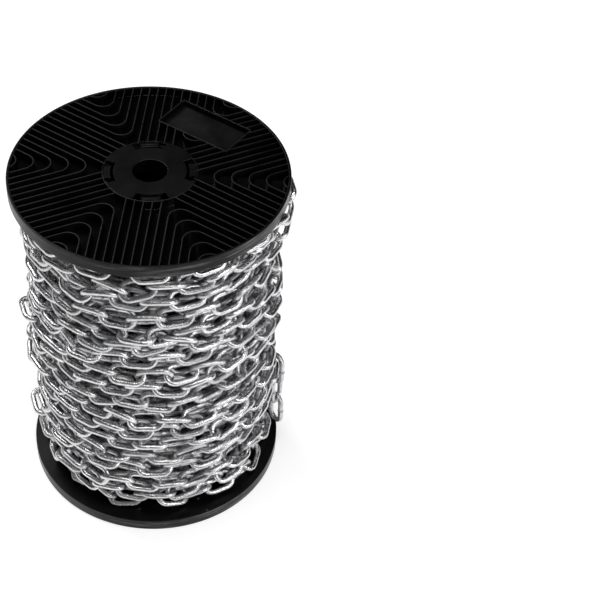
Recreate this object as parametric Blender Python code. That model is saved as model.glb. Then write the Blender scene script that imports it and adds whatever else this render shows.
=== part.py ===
"""Reel of short-link steel chain.

Two ribbed plastic flanges are snapped on a plastic barrel, and the chain is wound between them.
Lengths are in metres, +Z is up, and the reel's axis is Z. The lower flange stands on z = 0.
"""
import math

import bmesh
import bpy
from mathutils import Matrix, Vector

# Reel
REEL_HEIGHT = 0.327
FLANGE_RADIUS = 0.115
FLANGE_THICKNESS = 0.0112
RIM_WIDTH = 0.0023
WEB_THICKNESS = 0.0032
BORE_RADIUS = 0.0142
COLLAR_WALL = 0.0025
HUB_RADIUS = 0.0389
HUB_WALL = 0.0039
HUB_PLATE = 0.0030
ROUND_SEGMENTS = 72

# Hub slots and the snap hooks that latch in them
SLOT_COUNT = 4
SLOT_INNER_RADIUS = 0.0299
SLOT_OUTER_RADIUS = 0.0380
SLOT_SPAN = math.radians(45)
SLOT_STEPS = 5
HOOK_INNER_RADIUS = 0.0320
HOOK_SPAN = math.radians(28)
HOOK_SETBACK = 0.0008
HOOK_ROOT = 0.0100
HOOK_STEPS = 3
LIP_SHARE = 0.9

# Ribs on a flange's outer face, in sectors whose middles lie at the first one's angle plus equal steps
RIB_THICKNESS = 0.0012
RIB_PITCH = 0.0071
RIB_SETBACK = 0.0004
RIB_CORNER_RADIUS = 0.0097
RIB_CORNER_STEPS = 2
SECTOR_COUNT = 6
SECTOR_START = math.radians(21.6)
STRAIGHT_RIBS = 2
BENT_RIBS = 7

# Label field: a block between the ribs, sunk inside a thin frame
LABEL_LENGTH = 0.071
LABEL_WIDTH = 0.037
LABEL_DISTANCE = 0.0757
LABEL_ANGLE = math.radians(51.6)
LABEL_DEPTH = 0.0035

# Barrel
BARREL_RADIUS = 0.037
BARREL_WALL = 0.004
BARREL_SEGMENTS = 48

# Chain
WIRE = 0.005
LINK_PITCH = 0.0235
LINK_WIDTH = 0.020
LINK_SLACK = 0.0005
LAYER_RADIUS = 0.1046
LAYER_TURNS = 18
LAYER_START = math.radians(120)
LAYER_STRETCH = 0.00035
HOOK_REACH = 0.0035
HOOK_CORNER = 0.0053
FOOT_INSET = 0.0090
FOOT_HEIGHT = 0.0280
CROSSING_SHARE = 1 / 6
HOLLOW_DEPTH = 0.0058
HOLLOW_MIDDLE = math.radians(-1)
HOLLOW_HALF_SPAN = math.radians(26)
CORE_SEGMENTS = 64
CORE_GAP = 0.0006
CORE_FOOT_INSET = 0.0145
CORE_FOOT_HEIGHT = 0.0400
FREE_END_LINKS = 3
FREE_END_RADIUS = 0.1130
FREE_END_HEIGHT = 0.0870
FREE_END_ROLL = math.radians(32)
FREE_END_SLANT = math.radians(10)
WIRE_SEGMENTS = 8
LINK_END_STEPS = 6

# Gap kept between pieces that touch
FIT_GAP = 0.0003


def clear_scene():
    """Remove every object that the file opened with."""
    for item in list(bpy.data.objects):
        bpy.data.objects.remove(item, do_unlink=True)


def finish(name, colour, roughness, metallic):
    """Make one piece's material."""
    material = bpy.data.materials.new(name)
    material.use_nodes = True
    shader = material.node_tree.nodes["Principled BSDF"]
    shader.inputs["Base Color"].default_value = (*colour, 1.0)
    shader.inputs["Roughness"].default_value = roughness
    shader.inputs["Metallic"].default_value = metallic
    return material


def black_plastic(name):
    """Glossy black moulded plastic."""
    return finish(name, colour=(0.012, 0.012, 0.013), roughness=0.35, metallic=0.0)


def zinc_steel(name):
    """Bright zinc-plated steel."""
    return finish(name, colour=(0.62, 0.65, 0.70), roughness=0.28, metallic=1.0)


def to_mesh(name, shape):
    """Turn a bmesh into a mesh with its faces pointing out, and free the bmesh."""
    bmesh.ops.recalc_face_normals(shape, faces=shape.faces)
    mesh = bpy.data.meshes.new(name)
    shape.to_mesh(mesh)
    shape.free()
    return mesh


def add_piece(name, mesh, material):
    """Add one piece of the reel, smooth but for its sharp edges."""
    mesh.shade_smooth()
    mesh.set_sharp_from_angle(angle=math.radians(35))
    if not mesh.materials:
        mesh.materials.append(None)
    piece = bpy.data.objects.new(name, mesh)
    bpy.context.collection.objects.link(piece)
    piece.material_slots[0].link = "OBJECT"
    piece.material_slots[0].material = material
    return piece


def add_guide(name, shape):
    """Add an object that only cuts or joins, and isn't a piece of the reel."""
    guide = bpy.data.objects.new(name, to_mesh(name, shape))
    bpy.context.collection.objects.link(guide)
    guide.hide_render = True
    guide.display_type = "WIRE"
    return guide


def combine(piece, guide, operation):
    """Cut or join a piece with a guide."""
    modifier = piece.modifiers.new(guide.name, "BOOLEAN")
    modifier.operation = operation
    modifier.object = guide
    modifier.solver = "EXACT"


def polar(radius, angle, height=0.0):
    """Give the point at a radius and an angle round Z."""
    return Vector((radius * math.cos(angle), radius * math.sin(angle), height))


def spin_profile(shape, profile, segments):
    """Turn a closed profile of (radius, height) points about Z."""
    points = [shape.verts.new((radius, 0.0, height)) for radius, height in profile]
    edges = [shape.edges.new((points[i - 1], points[i])) for i in range(len(points))]
    bmesh.ops.spin(
        shape,
        geom=points + edges,
        cent=(0, 0, 0),
        axis=(0, 0, 1),
        angle=math.tau,
        steps=segments,
        use_merge=True,
    )


def add_prism(shape, outline, low, high):
    """Stand a closed outline of points up from one height to another."""
    base = shape.faces.new([shape.verts.new((point.x, point.y, low)) for point in outline])
    grown = bmesh.ops.extrude_face_region(shape, geom=[base])["geom"]
    risen = [part for part in grown if isinstance(part, bmesh.types.BMVert)]
    bmesh.ops.translate(shape, verts=risen, vec=(0, 0, high - low))


def add_arcs(shape, inner, outer, span, steps, low, high):
    """Stand up one stretch of a ring at each hub slot's place."""
    for number in range(SLOT_COUNT):
        start = math.tau * number / SLOT_COUNT - span / 2
        angles = [start + span * step / steps for step in range(steps + 1)]
        outline = [polar(outer, angle) for angle in angles]
        outline += [polar(inner, angle) for angle in reversed(angles)]
        add_prism(shape, outline, low, high)


def arm_length(apex, reach):
    """Say how far a bent rib's straight arm runs from its apex, on +X, to the radius reach."""
    along = apex * math.cos(math.pi / SECTOR_COUNT)
    return math.sqrt(along ** 2 + reach ** 2 - apex ** 2) - along


def bent_rib_line(apex, reach):
    """Give a bent rib's centre line: two arms that open outwards about +X from a round corner."""
    half = math.pi / SECTOR_COUNT
    centre = apex + RIB_CORNER_RADIUS / math.sin(half)
    length = arm_length(apex, reach)
    has_arms = length > RIB_CORNER_RADIUS / math.tan(half)
    swing = math.pi / 2 - half
    if not has_arms:
        near = (centre ** 2 + RIB_CORNER_RADIUS ** 2 - reach ** 2) / (2 * centre * RIB_CORNER_RADIUS)
        swing = math.acos(near)
    turns = [swing * step / RIB_CORNER_STEPS for step in range(-RIB_CORNER_STEPS, RIB_CORNER_STEPS + 1)]
    line = [Vector((centre, 0, 0)) - polar(RIB_CORNER_RADIUS, -turn) for turn in turns]
    if has_arms:
        tip = Vector((apex, 0, 0)) + polar(length, half)
        line = [Vector((tip.x, -tip.y, 0))] + line + [tip]
    return line


def straight_rib_line(offset, start, reach):
    """Give a straight rib's centre line, beside +X at an offset, from hub to rim."""
    return [Vector((math.sqrt(radius ** 2 - offset ** 2), offset, 0)) for radius in (start, reach)]


def widened(line, width):
    """Widen a centre line of points into a closed outline."""
    left, right = [], []
    for place, point in enumerate(line):
        last = place + 1 == len(line)
        into = (point - line[place - 1]).normalized() if place else (line[1] - point).normalized()
        out = into if last else (line[place + 1] - point).normalized()
        along = (into + out).normalized()
        side = Vector((-along.y, along.x, 0)) * (width / 2 / along.dot(into))
        left.append(point + side)
        right.append(point - side)
    return left + right[::-1]


def turned(points, angle):
    """Turn points about Z."""
    turn = Matrix.Rotation(angle, 3, "Z")
    return [turn @ point for point in points]


def rib_guide():
    """Make a flange's ribs: straight ones along each sector's middle, and bent ones across its borders."""
    shape = bmesh.new()
    sector = math.tau / SECTOR_COUNT
    low = WEB_THICKNESS / 2
    high = FLANGE_THICKNESS - RIB_SETBACK
    start = HUB_RADIUS - HUB_WALL / 2
    reach = FLANGE_RADIUS - RIM_WIDTH / 2
    for number in range(SECTOR_COUNT):
        middle = SECTOR_START + number * sector
        for place in range(-STRAIGHT_RIBS, STRAIGHT_RIBS + 1):
            line = straight_rib_line(place * RIB_PITCH, start, reach)
            add_prism(shape, turned(widened(line, RIB_THICKNESS), middle), low, high)
        for place in range(STRAIGHT_RIBS + 1, BENT_RIBS + 1):
            line = bent_rib_line(place * RIB_PITCH / math.sin(sector / 2), reach)
            add_prism(shape, turned(widened(line, RIB_THICKNESS), middle + sector / 2), low, high)
    return add_guide("rib_guide", shape)


def label_guide(name, inset, low, high):
    """Make a block over the label field, this far inside its outline and between two heights."""
    shape = bmesh.new()
    near = LABEL_DISTANCE - LABEL_WIDTH / 2 + inset
    far = LABEL_DISTANCE + LABEL_WIDTH / 2 - inset
    half = LABEL_LENGTH / 2 - inset
    corners = ((near, -half), (far, -half), (far, half), (near, half))
    outline = [Vector((across, along, 0)) for across, along in corners]
    add_prism(shape, turned(outline, LABEL_ANGLE), low, high)
    return add_guide(name, shape)


def slot_guide():
    """Make the cutters of the hub slots. They end just below the hub plate and leave the hooks a ledge."""
    shape = bmesh.new()
    low = FLANGE_THICKNESS - HUB_PLATE - FIT_GAP
    high = FLANGE_THICKNESS + HUB_PLATE
    add_arcs(shape, SLOT_INNER_RADIUS, SLOT_OUTER_RADIUS, SLOT_SPAN, SLOT_STEPS, low, high)
    return add_guide("slot_guide", shape)


def flange_profile():
    """Give a flange's section, with its smooth winding face on z = 0 and its outer face up."""
    rim = FLANGE_RADIUS - RIM_WIDTH
    hub_inside = HUB_RADIUS - HUB_WALL
    plate = FLANGE_THICKNESS - HUB_PLATE
    collar = BORE_RADIUS + COLLAR_WALL
    return [
        (BORE_RADIUS, FLANGE_THICKNESS),
        (HUB_RADIUS, FLANGE_THICKNESS),
        (HUB_RADIUS, WEB_THICKNESS),
        (rim, WEB_THICKNESS),
        (rim, FLANGE_THICKNESS),
        (FLANGE_RADIUS, FLANGE_THICKNESS),
        (FLANGE_RADIUS, 0),
        (hub_inside, 0),
        (hub_inside, plate),
        (collar, plate),
        (collar, 0),
        (BORE_RADIUS, 0),
    ]


def flange_mesh():
    """Make the moulding that both flanges are made from."""
    shape = bmesh.new()
    spin_profile(shape, flange_profile(), ROUND_SEGMENTS)
    blank = add_guide("flange_blank", shape)
    top = FLANGE_THICKNESS - RIB_SETBACK / 2
    label_block = label_guide("label_block_guide", 0, WEB_THICKNESS / 2, top)
    label_recess = label_guide("label_recess_guide", RIB_THICKNESS, top - LABEL_DEPTH, FLANGE_THICKNESS)
    guides = [rib_guide(), label_block, label_recess, slot_guide()]
    for guide, operation in zip(guides, ("UNION", "UNION", "DIFFERENCE", "DIFFERENCE")):
        combine(blank, guide, operation)
    mesh = bpy.data.meshes.new_from_object(blank.evaluated_get(bpy.context.evaluated_depsgraph_get()))
    mesh.name = "flange"
    for guide in [blank] + guides:
        bpy.data.objects.remove(guide, do_unlink=True)
    return mesh


def add_flanges():
    """Add the upper flange, and the lower one, which is the same moulding turned over."""
    mesh = flange_mesh()
    upper = add_piece("upper_flange", mesh, black_plastic("upper_flange"))
    upper.location.z = REEL_HEIGHT - FLANGE_THICKNESS
    lower = add_piece("lower_flange", mesh, black_plastic("lower_flange"))
    lower.location.z = FLANGE_THICKNESS
    lower.rotation_euler.x = math.pi


def add_hook_guides(barrel, end, height):
    """Join the snap hooks to one end of the barrel. height turns a depth below that end into a height."""
    stem_outside = HUB_RADIUS - HUB_WALL - FIT_GAP
    lip_outside = SLOT_OUTER_RADIUS - FIT_GAP
    stem = sorted((height(HOOK_SETBACK), height(FLANGE_THICKNESS + HOOK_ROOT)))
    lip = sorted((height(HOOK_SETBACK / 2), height(HUB_PLATE)))
    stems = bmesh.new()
    add_arcs(stems, HOOK_INNER_RADIUS, stem_outside, HOOK_SPAN, HOOK_STEPS, *stem)
    combine(barrel, add_guide(end + "_stem_guide", stems), "UNION")
    lips = bmesh.new()
    add_arcs(lips, HOOK_INNER_RADIUS + FIT_GAP, lip_outside, HOOK_SPAN * LIP_SHARE, HOOK_STEPS, *lip)
    combine(barrel, add_guide(end + "_lip_guide", lips), "UNION")


def add_barrel():
    """Add the barrel: a tube between the flanges, with snap hooks through the hub slots of both."""
    low = FLANGE_THICKNESS + FIT_GAP
    high = REEL_HEIGHT - low
    inside = BARREL_RADIUS - BARREL_WALL
    profile = [(BARREL_RADIUS, high), (BARREL_RADIUS, low), (inside, low), (inside, high)]
    shape = bmesh.new()
    spin_profile(shape, profile, BARREL_SEGMENTS)
    barrel = add_piece("barrel", to_mesh("barrel", shape), black_plastic("barrel"))
    add_hook_guides(barrel, "lower", lambda depth: depth)
    add_hook_guides(barrel, "upper", lambda depth: REEL_HEIGHT - depth)


def links_per_turn():
    """Say how many links one turn of the outer layer takes."""
    return math.tau * LAYER_RADIUS / (LINK_PITCH + LAYER_STRETCH)


def link_reach():
    """Say how far a link that leans at 45 degrees reaches up, down, out and in from its middle."""
    return (LINK_WIDTH - WIRE) / 2 * math.sqrt(0.5) + WIRE / 2


def first_height():
    """Give the height of the lowest turn's middle."""
    return FLANGE_THICKNESS + FIT_GAP + link_reach()


def hollow_depth(angle):
    """Say how far the outer layer sinks in at an angle. It does so where the free end hangs."""
    away = abs((angle - HOLLOW_MIDDLE + math.pi) % math.tau - math.pi) / HOLLOW_HALF_SPAN
    if away >= 1:
        return 0.0
    return HOLLOW_DEPTH * math.cos(away * math.pi / 2) ** 2


def layer_height(turns):
    """Give the height of the outer layer's middle. Each turn lies level, and then crosses up to the next."""
    first = first_height()
    step = (REEL_HEIGHT - 2 * first) / (LAYER_TURNS - 1)
    whole = min(int(turns), LAYER_TURNS - 1)
    crossed = 0.0
    if whole < LAYER_TURNS - 1:
        crossed = max(0.0, (turns - whole - 1 + CROSSING_SHARE) / CROSSING_SHARE)
    return first + step * (whole + (1 - math.cos(math.pi * crossed)) / 2)


def layer_place(turns):
    """Give a place on the outer layer's middle. The lowest turns are drawn in towards the barrel."""
    angle = LAYER_START + math.tau * turns
    height = layer_height(max(0.0, turns))
    foot = max(0.0, 1 - (height - first_height()) / FOOT_HEIGHT)
    return polar(LAYER_RADIUS - hollow_depth(angle) - FOOT_INSET * foot, angle, height)


def add_joint(shape, number):
    """Add the place where two links of the outer layer hook together, fused into one knot.

    The link before it leans one way and the link after it the other way, and each ends here in two
    bars of three sides. An angle of 0 points out and 180 points in, where both links share a corner.
    Returns the corners of the bars' ends: those of the link before, then those of the link after.
    """
    turns = (number - 0.5) / links_per_turn()
    middle = layer_place(turns)
    angle = LAYER_START + math.tau * turns
    out = polar(1, angle)
    along = polar(1, angle + math.pi / 2)
    up = Vector((0, 0, (-1) ** number))

    def corner(radius, degrees, ahead):
        turn = math.radians(degrees)
        place = middle + radius * (out * math.cos(turn) + up * math.sin(turn)) + along * ahead
        return shape.verts.new(place)

    tip = LINK_WIDTH / 2
    eye = tip - WIRE
    inner = math.hypot(eye, WIRE / 2)
    lean = math.degrees(math.atan2(WIRE / 2, eye))
    outer_side = corner(HOOK_CORNER, 0, 0)
    inner_side = corner(HOOK_CORNER, 180, 0)
    before_tips = [corner(tip, degrees, -HOOK_REACH) for degrees in (45, 225)]
    before_inner = [corner(inner, degrees + lean, -HOOK_REACH) for degrees in (45, 225)]
    after_tips = [corner(tip, degrees, HOOK_REACH) for degrees in (315, 135)]
    after_inner = [corner(inner, degrees - lean, HOOK_REACH) for degrees in (315, 135)]
    for side, (shared, other) in enumerate(((outer_side, inner_side), (inner_side, outer_side))):
        tip_before, inner_before = before_tips[side], before_inner[side]
        tip_after, inner_after = after_tips[1 - side], after_inner[1 - side]
        shape.faces.new((shared, inner_before, before_inner[1 - side]))
        shape.faces.new((shared, after_inner[side], inner_after))
        shape.faces.new((shared, tip_before, inner_after))
        shape.faces.new((tip_before, inner_before, inner_after))
        shape.faces.new((inner_before, tip_after, inner_after))
        shape.faces.new((inner_before, other, tip_after))
    shared_sides = (outer_side, inner_side)
    before = list(zip(before_tips, shared_sides, before_inner))
    after = list(zip(after_tips, shared_sides, after_inner))
    return before, after


def add_outer_layer():
    """Add the outer layer: turns of links that lean up and down in turn, fused where they hook together."""
    shape = bmesh.new()
    links = round(LAYER_TURNS * links_per_turn())
    joints = [add_joint(shape, number) for number in range(links + 1)]
    for (_, starts), (ends, _) in zip(joints, joints[1:]):
        for start, end in zip(starts, ends):
            for side in range(3):
                shape.faces.new((start[side - 1], start[side], end[side], end[side - 1]))
    for cap in joints[0][0] + joints[-1][1]:
        shape.faces.new(cap)
    bmesh.ops.triangulate(shape, faces=shape.faces)
    add_piece("outer_chain_layer", to_mesh("outer_chain_layer", shape), zinc_steel("outer_chain_layer"))


def add_core():
    """Add the hidden turns as one ring round the barrel, drawn in where the outer layer is."""
    low = FLANGE_THICKNESS + FIT_GAP
    high = REEL_HEIGHT - low
    inside = BARREL_RADIUS + FIT_GAP
    shape = bmesh.new()
    sections = []
    for number in range(CORE_SEGMENTS):
        angle = math.tau * number / CORE_SEGMENTS
        deepest = (LAYER_RADIUS - hollow_depth(angle) - link_reach()) * math.cos(math.pi / links_per_turn())
        outside = deepest - CORE_GAP
        corners = (
            (inside, low),
            (outside - CORE_FOOT_INSET, low),
            (outside, low + CORE_FOOT_HEIGHT),
            (outside, high),
            (inside, high),
        )
        sections.append([shape.verts.new(polar(radius, angle, height)) for radius, height in corners])
    for place, section in enumerate(sections):
        before = sections[place - 1]
        for side in range(len(section)):
            shape.faces.new((before[side - 1], before[side], section[side], section[side - 1]))
    add_piece("chain_core", to_mesh("chain_core", shape), zinc_steel("chain_core"))


def link_mesh():
    """Make one link: round wire along a straight-sided ring in the YZ plane."""
    shape = bmesh.new()
    bend = (LINK_WIDTH - WIRE) / 2
    shift = (LINK_PITCH + WIRE) / 2 - bend
    rings = []
    for side, start in ((1, 0.0), (-1, math.pi)):
        for step in range(LINK_END_STEPS + 1):
            turn = start + math.pi * step / LINK_END_STEPS
            out = Vector((0, math.cos(turn), math.sin(turn)))
            middle = out * bend + Vector((0, 0, side * shift))
            ring = []
            for spoke in range(WIRE_SEGMENTS):
                lean = math.tau * spoke / WIRE_SEGMENTS
                offset = out * math.cos(lean) + Vector((1, 0, 0)) * math.sin(lean)
                ring.append(shape.verts.new(middle + offset * WIRE / 2))
            rings.append(ring)
    for place, ring in enumerate(rings):
        before = rings[place - 1]
        for spoke in range(WIRE_SEGMENTS):
            shape.faces.new((before[spoke - 1], before[spoke], ring[spoke], ring[spoke - 1]))
    return to_mesh("link", shape)


def add_free_end():
    """Hang the chain's free end down the side at a slant, with the links rolled to and fro in turn."""
    mesh = link_mesh()
    slant = Matrix.Rotation(-FREE_END_SLANT, 4, "X")
    first = Vector((FREE_END_RADIUS, 0, FREE_END_HEIGHT))
    down = slant @ Vector((0, 0, LINK_SLACK - LINK_PITCH))
    for number in range(FREE_END_LINKS):
        name = f"free_end_link_{number + 1}"
        link = add_piece(name, mesh, zinc_steel(name))
        roll = Matrix.Rotation(FREE_END_ROLL * (-1) ** number, 4, "Z")
        link.matrix_world = Matrix.Translation(first + down * number) @ slant @ roll


def main():
    """Build the reel and its chain."""
    clear_scene()
    add_flanges()
    add_barrel()
    add_core()
    add_outer_layer()
    add_free_end()


main()
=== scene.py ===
"""Looks of a reel of short-link steel chain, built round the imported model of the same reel.

The flanges get their moulded ribs, hub and label field. The wound chain is laid out link by link, and its two
outer layers are settled, so that their links lie against each other. All lengths are in metres.
"""
import itertools
import logging
import math
from dataclasses import dataclass, field, replace
from enum import Enum

import bmesh
import bpy
import numpy as np
from mathutils import Matrix, Vector


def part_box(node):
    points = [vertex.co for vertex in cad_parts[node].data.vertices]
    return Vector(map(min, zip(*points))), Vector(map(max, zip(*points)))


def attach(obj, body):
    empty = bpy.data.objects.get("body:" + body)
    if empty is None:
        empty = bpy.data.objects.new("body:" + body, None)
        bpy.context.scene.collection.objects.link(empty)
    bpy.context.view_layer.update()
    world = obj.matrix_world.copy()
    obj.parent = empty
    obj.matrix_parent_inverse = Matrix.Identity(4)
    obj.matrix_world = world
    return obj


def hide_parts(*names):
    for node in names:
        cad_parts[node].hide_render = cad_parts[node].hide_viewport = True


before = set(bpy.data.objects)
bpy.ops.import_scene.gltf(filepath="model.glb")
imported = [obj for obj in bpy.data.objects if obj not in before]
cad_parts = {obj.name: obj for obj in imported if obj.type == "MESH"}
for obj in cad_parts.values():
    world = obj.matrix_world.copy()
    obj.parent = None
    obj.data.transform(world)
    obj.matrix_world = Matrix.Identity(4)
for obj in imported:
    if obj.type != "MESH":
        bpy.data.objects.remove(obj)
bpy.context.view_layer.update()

LOG = logging.getLogger("chain_reel")
BODY = "root"
# Mesh values of the plastic: wear, and the painted sheen on the rims and the label floor.
WEAR_AND_SHEEN = ("edge", "web", "rim", "winding_face")
SHARP_ANGLE = math.radians(40)
NO_JOINTS = np.zeros((0, 2), int)
TINY = 1e-9
Socket = bpy.types.NodeSocket
Given = Socket | float | tuple


class Slot(Enum):
    """Names of the finishes. Each chain piece picks its material by one of the chain's two."""

    PLASTIC = "black_plastic"
    ZINC = "zinc_chain"
    INNER = "inner_chain"


def smooth_step(value: float) -> float:
    """Ease a share from 0 to 1 with level ends."""
    return (1 - math.cos(math.pi * value)) / 2


def new_object(name: str, data: bpy.types.ID) -> bpy.types.Object:
    """Make an object and put it in the scene.

    Args:
        name: the object's name.
        data: its mesh, light or camera.

    Returns:
        The object.
    """
    made = bpy.data.objects.new(name, data)
    bpy.context.collection.objects.link(made)
    return made


def mesh_object(name: str, shape: bmesh.types.BMesh) -> bpy.types.Object:
    """Make an object of an edited mesh, and free that mesh.

    Args:
        name: the object's name.
        shape: the edited mesh.

    Returns:
        The object, linked to the scene.
    """
    mesh = bpy.data.meshes.new(name)
    shape.to_mesh(mesh)
    shape.free()
    return new_object(name, mesh)


@dataclass
class Shell:
    """A mesh as arrays, with one value per vertex for each named attribute."""

    points: np.ndarray
    quads: np.ndarray
    values: dict[str, np.ndarray] = field(default_factory=dict)

    @staticmethod
    def joined(shells: list["Shell"]) -> "Shell":
        """Join shells that carry the same attributes.

        Args:
            shells: the shells, in order.

        Returns:
            One shell with every vertex and face of them.
        """
        starts = np.cumsum([0] + [len(shell.points) for shell in shells[:-1]])
        points = np.concatenate([shell.points for shell in shells])
        quads = np.concatenate([shell.quads + start for shell, start in zip(shells, starts)])
        names = shells[0].values
        values = {name: np.concatenate([shell.values[name] for shell in shells]) for name in names}
        return Shell(points, quads, values)

    def moved(self, turn: np.ndarray, shift: np.ndarray) -> "Shell":
        """Give a copy turned by a matrix and then shifted."""
        return Shell(self.points @ turn.T + shift, self.quads, self.values)

    def to_object(self, name: str) -> bpy.types.Object:
        """Make a smooth-shaded Blender object of the shell.

        Args:
            name: the object's name.

        Returns:
            The object, linked to the scene.
        """
        mesh = bpy.data.meshes.new(name)
        mesh.vertices.add(len(self.points))
        mesh.vertices.foreach_set("co", self.points.astype(np.float32).ravel())
        mesh.loops.add(self.quads.size)
        mesh.loops.foreach_set("vertex_index", self.quads.astype(np.int32).ravel())
        mesh.polygons.add(len(self.quads))
        mesh.polygons.foreach_set("loop_start", np.arange(0, self.quads.size, 4, dtype=np.int32))
        mesh.update(calc_edges=True)
        for key, value in self.values.items():
            layer = mesh.attributes.new(key, "FLOAT", "POINT")
            layer.data.foreach_set("value", value.astype(np.float32))
        mesh.validate()
        mesh.shade_smooth()
        return new_object(name, mesh)


def unworn(count: int) -> dict[str, np.ndarray]:
    """Give the mesh values of wear and painted sheen, all zero, for plain plastic."""
    return {name: np.zeros(count) for name in WEAR_AND_SHEEN}


def polar(radius: float, angle: float, height: float = 0.0) -> Vector:
    """Give the point at a radius and an angle round Z."""
    return Vector((radius * math.cos(angle), radius * math.sin(angle), height))


def ring_quads(rings: int, spokes: int, closed: bool) -> np.ndarray:
    """Give the faces between rings of vertices.

    Args:
        rings: how many rings there are.
        spokes: how many vertices a ring has.
        closed: whether the last ring joins the first.

    Returns:
        The faces, four vertex numbers each.
    """
    near = np.arange(rings if closed else rings - 1)[:, None]
    far = (near + 1) % rings
    spoke = np.arange(spokes)[None]
    after = (spoke + 1) % spokes
    corners = (near * spokes + spoke, near * spokes + after, far * spokes + after, far * spokes + spoke)
    return np.stack(corners, axis=-1).reshape(-1, 4)


def swept(section: np.ndarray, places: np.ndarray, ways: np.ndarray, closed: bool) -> tuple[np.ndarray, ...]:
    """Sweep a section along a line in the XY plane.

    Args:
        section: the section's points as (across, up).
        places: the line's points.
        ways: the way across at each of them.
        closed: whether the last point joins the first.

    Returns:
        The points and the faces.
    """
    flat = places[:, None] + ways[:, None] * section[None, :, :1]
    tall = np.broadcast_to(section[None, :, 1:], (len(places), len(section), 1))
    points = np.concatenate([flat, tall], axis=-1).reshape(-1, 3)
    return points, ring_quads(len(places), len(section), closed)[:, ::-1]


def turned(section: np.ndarray, angles: np.ndarray, closed: bool) -> tuple[np.ndarray, ...]:
    """Turn a section of (radius, height) points about Z, and give its points and faces."""
    ways = np.stack([np.cos(angles), np.sin(angles)], axis=-1)
    return swept(section, np.zeros_like(ways), ways, closed)


class Graph:
    """A short way to lay out shader nodes."""

    def __init__(self, tree: bpy.types.NodeTree) -> None:
        """Take the node tree to build in."""
        self.tree = tree

    def add(self, kind: str, inputs: dict | None = None, **settings: object) -> bpy.types.Node:
        """Add a node.

        Args:
            kind: the node's type name, without ShaderNode in front.
            inputs: values or sockets for the node's inputs, by name or number.
            settings: values of the node's own properties.

        Returns:
            The node.
        """
        node = self.tree.nodes.new("ShaderNode" + kind)
        for key, value in settings.items():
            setattr(node, key, value)
        for key, value in (inputs or {}).items():
            self.feed(node.inputs[key], value)
        return node

    def feed(self, socket: Socket, value: Given) -> None:
        """Link something to an input, or set the input's own value.

        Args:
            socket: the input.
            value: a socket to link, or a value to set.
        """
        if isinstance(value, Socket):
            self.tree.links.new(value, socket)
        else:
            socket.default_value = value

    def math(self, operation: str, first: Given, second: Given = 0.0) -> Socket:
        """Give the result of an operation on one or two numbers."""
        return self.add("Math", {0: first, 1: second}, operation=operation).outputs[0]

    def times(self, first: Given, second: Given) -> Socket:
        """Multiply two numbers."""
        return self.math("MULTIPLY", first, second)

    def most(self, first: Given, second: Given) -> Socket:
        """Give the larger of two numbers."""
        return self.math("MAXIMUM", first, second)

    def ramp(self, value: Given, low: Given, high: Given, first: float = 0.0, last: float = 1.0) -> Socket:
        """Map a value between two bounds on to two others, and hold it inside them."""
        inputs = {"Value": value, "From Min": low, "From Max": high, "To Min": first, "To Max": last}
        return self.add("MapRange", inputs, clamp=True).outputs["Result"]

    def blend(self, share: Given, first: Given, second: Given) -> Socket:
        """Mix two colours.

        Args:
            share: how much of the second there is.
            first: the first colour.
            second: the second colour.

        Returns:
            The mixed colour.
        """
        node = self.add("Mix", data_type="RGBA")
        for socket, value in zip((node.inputs[0], node.inputs[6], node.inputs[7]), (share, first, second)):
            self.feed(socket, value)
        return node.outputs[2]

    def attribute(self, name: str) -> Socket:
        """Read one of the mesh's own values."""
        return self.add("Attribute", attribute_name=name).outputs["Fac"]

    def place(self) -> Socket:
        """Give the surface's place in the piece's own space."""
        return self.add("TexCoord").outputs["Object"]

    def effect(self, name: str, place: Socket, scale: float, amount: float) -> Socket:
        """Use a shared effect. The amount is the contrast, the scratches' width or the specks' share."""
        inputs = {"Vector": place, "Scale": scale, "Amount": amount}
        return self.add("Group", inputs, node_tree=bpy.data.node_groups[name]).outputs["Value"]

    def bump(self, shader: bpy.types.Node, height: Socket, strength: float, distance: float) -> None:
        """Raise the shader's surface by a height."""
        node = self.add("Bump", {"Strength": strength, "Distance": distance, "Height": height})
        self.feed(shader.inputs["Normal"], node.outputs["Normal"])


def new_group(name: str) -> tuple[Graph, dict[str, Socket], Socket]:
    """Start the node group of a shared effect. It takes a place, a scale and an amount, and gives a number.

    Args:
        name: the group's name.

    Returns:
        The graph, what the group is given by name, and the socket that takes its result.
    """
    tree = bpy.data.node_groups.new(name, "ShaderNodeTree")
    kinds = {"Vector": "NodeSocketVector", "Scale": "NodeSocketFloat", "Amount": "NodeSocketFloat"}
    for key, kind in kinds.items():
        tree.interface.new_socket(name=key, in_out="INPUT", socket_type=kind)
    tree.interface.new_socket(name="Value", in_out="OUTPUT", socket_type="NodeSocketFloat")
    source = tree.nodes.new("NodeGroupInput")
    sink = tree.nodes.new("NodeGroupOutput")
    return Graph(tree), {socket.name: socket for socket in source.outputs}, sink.inputs["Value"]


def build_mottle() -> None:
    """Build the soft cloudy variation that every finish uses."""
    graph, given, result = new_group("mottle")
    inputs = {"Vector": given["Vector"], "Scale": given["Scale"], "Detail": 5.0, "Roughness": 0.6}
    noise = graph.add("TexNoise", inputs).outputs["Fac"]
    low = graph.math("SUBTRACT", 0.5, given["Amount"])
    high = graph.math("ADD", 0.5, given["Amount"])
    graph.feed(result, graph.ramp(noise, low, high))


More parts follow.
